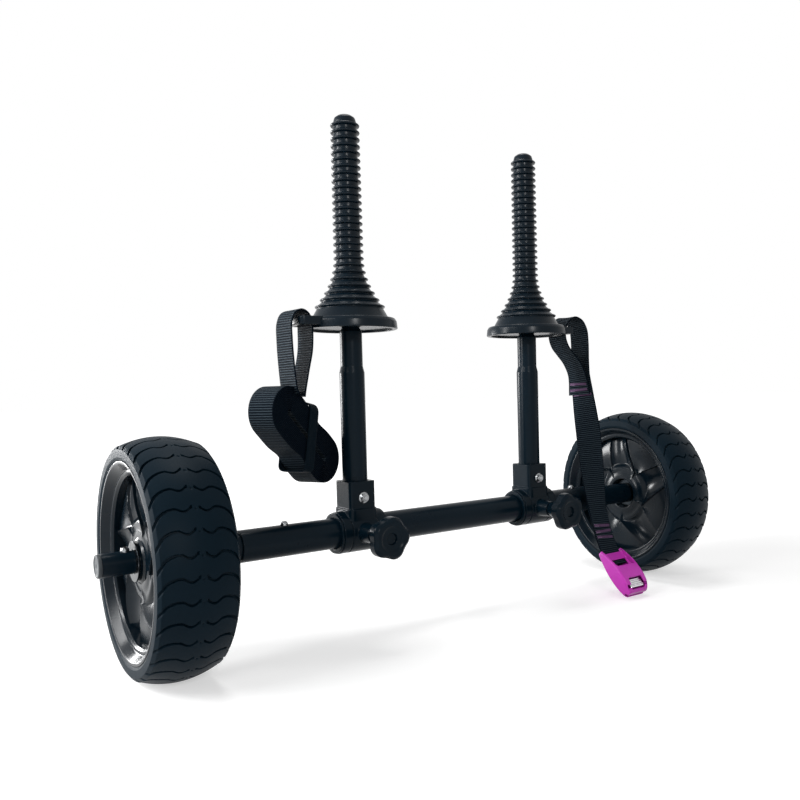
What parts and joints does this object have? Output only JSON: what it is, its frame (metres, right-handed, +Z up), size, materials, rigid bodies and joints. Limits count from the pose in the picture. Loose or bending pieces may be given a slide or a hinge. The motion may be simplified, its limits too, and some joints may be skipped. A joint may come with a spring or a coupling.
{
  "type": "kayak cart",
  "caption": "Two-wheeled cart for a sit-on-top kayak: ribbed rubber plugs on upright posts fit its scupper holes, with sliding clamped brackets and tie-down straps.",
  "frame": {"origin": "on the ground, midway between the wheels, under the crossbar's axis", "axes": "+X along the crossbar towards the side with the hanging buckle, +Z up, -Y towards the clamp knobs"},
  "size_m": [0.9068, 0.2666, 0.657],
  "materials": {
    "black_paint": "satin powder coat",
    "black_plastic": "moulded, satin",
    "rim_plastic": "glossy",
    "grey_plastic": "moulded",
    "tyre_rubber": "matt",
    "plug_rubber": "matt",
    "steel": "bare stainless",
    "brass": "machined",
    "webbing": "woven ribbed webbing",
    "magenta_plastic": "moulded, glossy",
    "chrome": "polished"
  },
  "bodies": {
    "crossbar": {"crossbar_tube": "black_paint", "left_axle_tube": "black_paint", "left_axle_cap": "grey_plastic", "left_crossbar_button_spring": "steel", "left_wheel_button_spring": "steel", "left_inner_washer": "steel", "left_outer_washer": "steel", "right_axle_tube": "black_paint", "right_axle_cap": "grey_plastic", "right_crossbar_button_spring": "steel", "right_wheel_button_spring": "steel", "right_inner_washer": "steel", "right_outer_washer": "steel"},
    "left_crossbar_button": {"left_crossbar_button": "steel"},
    "left_wheel_button": {"left_wheel_button": "steel"},
    "left_wheel": {"left_rim": "rim_plastic", "left_tyre": "tyre_rubber", "left_inner_hub_bush": "black_plastic", "left_outer_hub_bush": "black_plastic"},
    "left_slider": {"left_bracket_left_bush": "black_plastic", "left_bracket_right_bush": "black_plastic"},
    "left_post": {"left_bracket": "black_plastic", "left_clamp_insert": "brass", "left_post_tube": "black_paint", "left_post_bolt": "steel", "left_post_nut": "steel", "left_scupper_plug": "plug_rubber", "left_strap_loop": "webbing", "left_strap_roll": "webbing", "left_strap_keeper": "webbing"},
    "left_clamp": {"left_clamp_pad": "brass"},
    "left_knob": {"left_clamp_knob": "black_plastic", "left_clamp_screw": "steel"},
    "right_crossbar_button": {"right_crossbar_button": "steel"},
    "right_wheel_button": {"right_wheel_button": "steel"},
    "right_wheel": {"right_rim": "rim_plastic", "right_tyre": "tyre_rubber", "right_inner_hub_bush": "black_plastic", "right_outer_hub_bush": "black_plastic"},
    "right_slider": {"right_bracket_left_bush": "black_plastic", "right_bracket_right_bush": "black_plastic"},
    "right_post": {"right_bracket": "black_plastic", "right_clamp_insert": "brass", "right_post_tube": "black_paint", "right_post_bolt": "steel", "right_post_nut": "steel", "right_scupper_plug": "plug_rubber", "right_strap": "webbing", "buckle_cover": "magenta_plastic", "buckle_frame": "steel", "buckle_cam_pin": "steel", "buckle_cam_spring": "steel"},
    "right_clamp": {"right_clamp_pad": "brass"},
    "right_knob": {"right_clamp_knob": "black_plastic", "right_clamp_screw": "steel"},
    "cam_lever": {"buckle_cam_lever": "chrome"}
  },
  "joints": [
    {"name": "left_crossbar_button_press", "type": "slide", "parent": "crossbar", "child": "left_crossbar_button", "axis": [0, 0, -1], "range_m": [0, 0.0075], "stiffness_N_per_m": 800, "springref_m": -0.002, "deforming": ["left_crossbar_button_spring"]},
    {"name": "left_wheel_button_press", "type": "slide", "parent": "crossbar", "child": "left_wheel_button", "axis": [0, 0, -1], "range_m": [0, 0.0075], "stiffness_N_per_m": 800, "springref_m": -0.002, "deforming": ["left_wheel_button_spring"]},
    {"name": "left_wheel_spin", "type": "hinge", "parent": "crossbar", "child": "left_wheel", "pos_m": [-0.385, 0, 0.13335], "axis": [1, 0, 0], "continuous": true},
    {"name": "left_post_slide", "type": "slide", "parent": "crossbar", "child": "left_slider", "axis": [1, 0, 0], "range_m": [-0.055, 0.08]},
    {"name": "left_post_swing", "type": "hinge", "parent": "left_slider", "child": "left_post", "pos_m": [-0.143, 0, 0.13335], "axis": [1, 0, 0], "range_deg": [-90, 90]},
    {"name": "left_clamp_travel", "type": "slide", "parent": "left_post", "child": "left_clamp", "axis": [0, -1, 0], "range_m": [0, 0.0019]},
    {"name": "left_knob_turn", "type": "hinge", "parent": "left_clamp", "child": "left_knob", "pos_m": [-0.143, -0.07, 0.13335], "axis": [0, -1, 0], "range_deg": [0, 540]},
    {"name": "right_crossbar_button_press", "type": "slide", "parent": "crossbar", "child": "right_crossbar_button", "axis": [0, 0, -1], "range_m": [0, 0.0075], "stiffness_N_per_m": 800, "springref_m": -0.002, "deforming": ["right_crossbar_button_spring"]},
    {"name": "right_wheel_button_press", "type": "slide", "parent": "crossbar", "child": "right_wheel_button", "axis": [0, 0, -1], "range_m": [0, 0.0075], "stiffness_N_per_m": 800, "springref_m": -0.002, "deforming": ["right_wheel_button_spring"]},
    {"name": "right_wheel_spin", "type": "hinge", "parent": "crossbar", "child": "right_wheel", "pos_m": [0.385, 0, 0.13335], "axis": [1, 0, 0], "continuous": true},
    {"name": "right_post_slide", "type": "slide", "parent": "crossbar", "child": "right_slider", "axis": [1, 0, 0], "range_m": [-0.08, 0.045]},
    {"name": "right_post_swing", "type": "hinge", "parent": "right_slider", "child": "right_post", "pos_m": [0.155, 0, 0.13335], "axis": [1, 0, 0], "range_deg": [-90, 90]},
    {"name": "right_clamp_travel", "type": "slide", "parent": "right_post", "child": "right_clamp", "axis": [0, -1, 0], "range_m": [0, 0.0019]},
    {"name": "right_knob_turn", "type": "hinge", "parent": "right_clamp", "child": "right_knob", "pos_m": [0.155, -0.07, 0.13335], "axis": [0, -1, 0], "range_deg": [0, 540]},
    {"name": "cam_lever_press", "type": "hinge", "parent": "right_post", "child": "cam_lever", "pos_m": [0.25, -0.1027, 0.033], "axis": [1, 0, 0], "range_deg": [0, 18], "stiffness_Nm_per_rad": 0.06, "springref_deg": -11.46}
  ],
  "couplings": [
    {"joint": "left_clamp_travel", "follows": "left_knob_turn", "m_per_rad": 0.00019894},
    {"joint": "right_clamp_travel", "follows": "right_knob_turn", "m_per_rad": 0.00019894}
  ]
}
